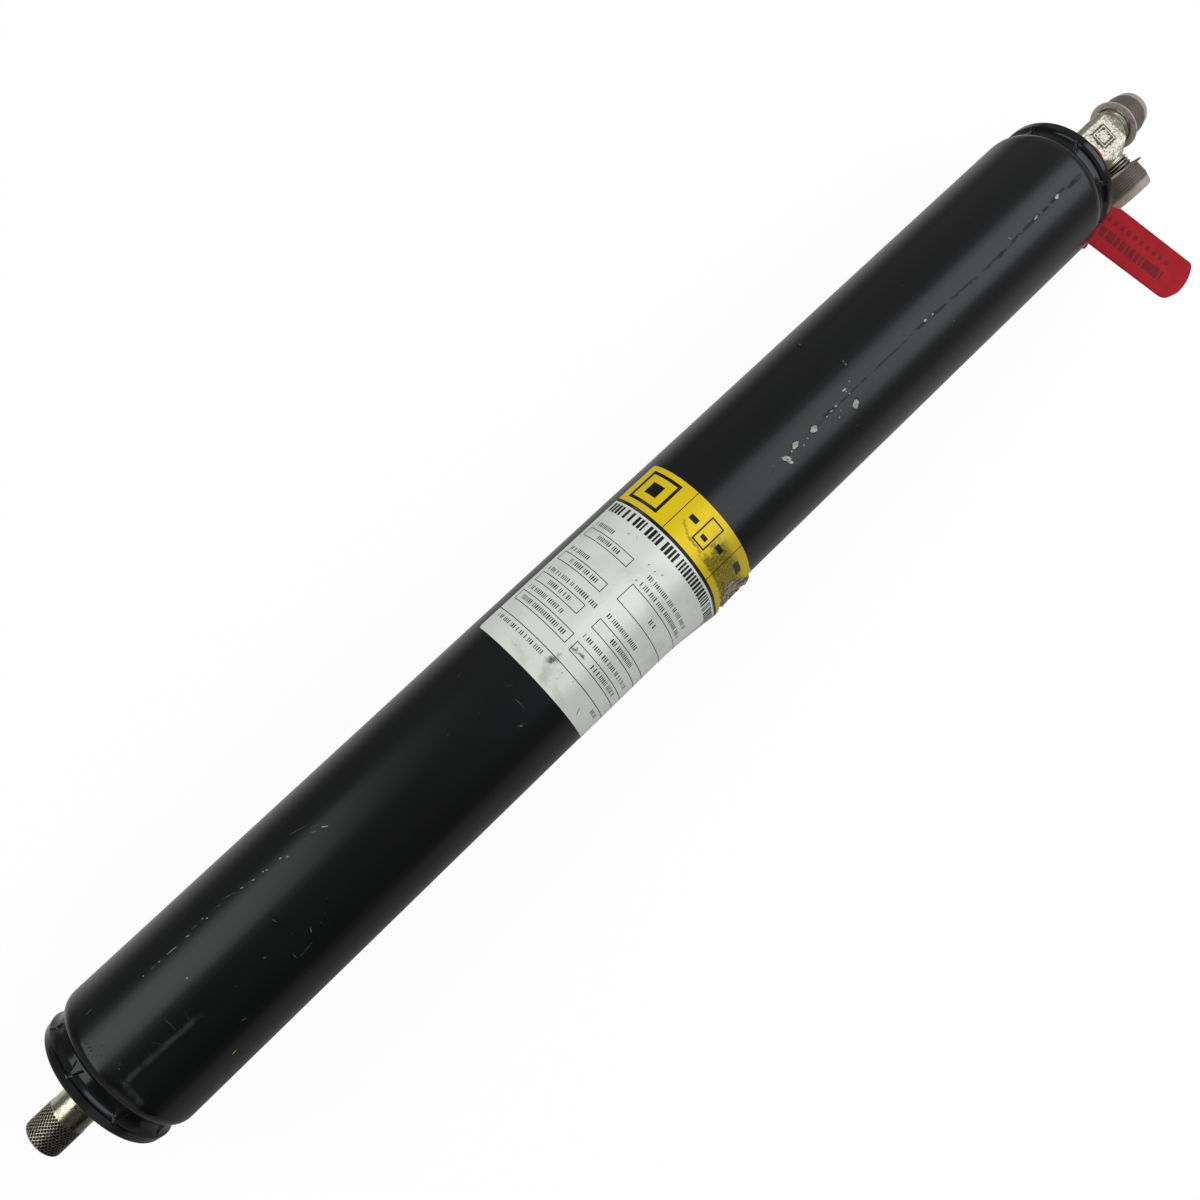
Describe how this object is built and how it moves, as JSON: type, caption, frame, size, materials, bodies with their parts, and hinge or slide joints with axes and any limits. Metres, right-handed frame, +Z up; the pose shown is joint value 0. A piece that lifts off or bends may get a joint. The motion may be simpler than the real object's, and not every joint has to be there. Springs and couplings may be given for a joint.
{
  "type": "piston accumulator",
  "caption": "Crimped black piston accumulator for a vehicle's brake circuit, with a capped forged tee at its oil end, a gas valve under a knurled guard cap, a blank label and a red tag.",
  "frame": {"origin": "on the tube's axis, half way along the shell tube", "axes": "+X along the tube towards the oil end and the tee, +Z up; the branch outlet points to -Y. The part lies on its tube, as it comes to rest."},
  "size_m": [0.6438, 0.1163, 0.0637],
  "materials": {
    "shell_paint": "smooth black paint, half gloss, chipped and rubbed in places",
    "piston_alloy": "turned, plain",
    "plated_steel": "thin zinc plating, dulled",
    "knurled_steel": "zinc plating worn bright on the crests, brown in the recesses",
    "forged_steel": "grainy forged skin under zinc plating, brown in the corners",
    "valve_brass": "turned, plain",
    "seal_rubber": "smooth black nitrile",
    "backup_plastic": "plain, off-white",
    "bearing_plastic": "plain, brown",
    "cap_plastic": "grey-brown, lets some light through",
    "label_film": "white and yellow film, slightly glossy",
    "tag_plastic": "flexible red plastic, slightly glossy"
  },
  "bodies": {
    "accumulator": {"branch_face_o_ring": "seal_rubber", "flag_tag": "tag_plastic", "gas_cap_backup_ring": "backup_plastic", "gas_cap_o_ring": "seal_rubber", "gas_end_cap": "shell_paint", "gas_valve_body": "plated_steel", "gas_valve_core": "valve_brass", "gas_valve_o_ring": "seal_rubber", "oil_cap_backup_ring": "backup_plastic", "oil_cap_o_ring": "seal_rubber", "oil_end_cap": "shell_paint", "port_o_ring": "seal_rubber", "port_washer": "plated_steel", "rating_label": "label_film", "run_face_o_ring": "seal_rubber", "shell_tube": "shell_paint", "tee_body": "forged_steel", "tee_locknut": "plated_steel"},
    "piston_set": {"piston": "piston_alloy", "piston_gas_backup_ring": "backup_plastic", "piston_gas_wear_ring": "bearing_plastic", "piston_o_ring": "seal_rubber", "piston_oil_backup_ring": "backup_plastic", "piston_oil_wear_ring": "bearing_plastic"},
    "valve_pin": {"gas_valve_pin": "valve_brass"},
    "guard_cap": {"guard_cap_seal": "seal_rubber", "valve_guard_cap": "knurled_steel"},
    "run_cap": {"run_port_cap": "cap_plastic"},
    "branch_cap": {"branch_port_cap": "cap_plastic"}
  },
  "joints": [
    {"name": "piston_slide", "type": "slide", "parent": "accumulator", "child": "piston_set", "axis": [-1, 0, 0], "range_m": [0, 0.4568]},
    {"name": "valve_pin_press", "type": "slide", "parent": "accumulator", "child": "valve_pin", "axis": [1, 0, 0], "range_m": [0, 0.0015], "stiffness_N_per_m": 400},
    {"name": "guard_cap_off", "type": "slide", "parent": "accumulator", "child": "guard_cap", "axis": [-1, 0, 0], "range_m": [0, 0.024]},
    {"name": "run_cap_off", "type": "slide", "parent": "accumulator", "child": "run_cap", "axis": [1, 0, 0], "range_m": [0, 0.02]},
    {"name": "branch_cap_off", "type": "slide", "parent": "accumulator", "child": "branch_cap", "axis": [0, -1, 0], "range_m": [0, 0.02]}
  ]
}
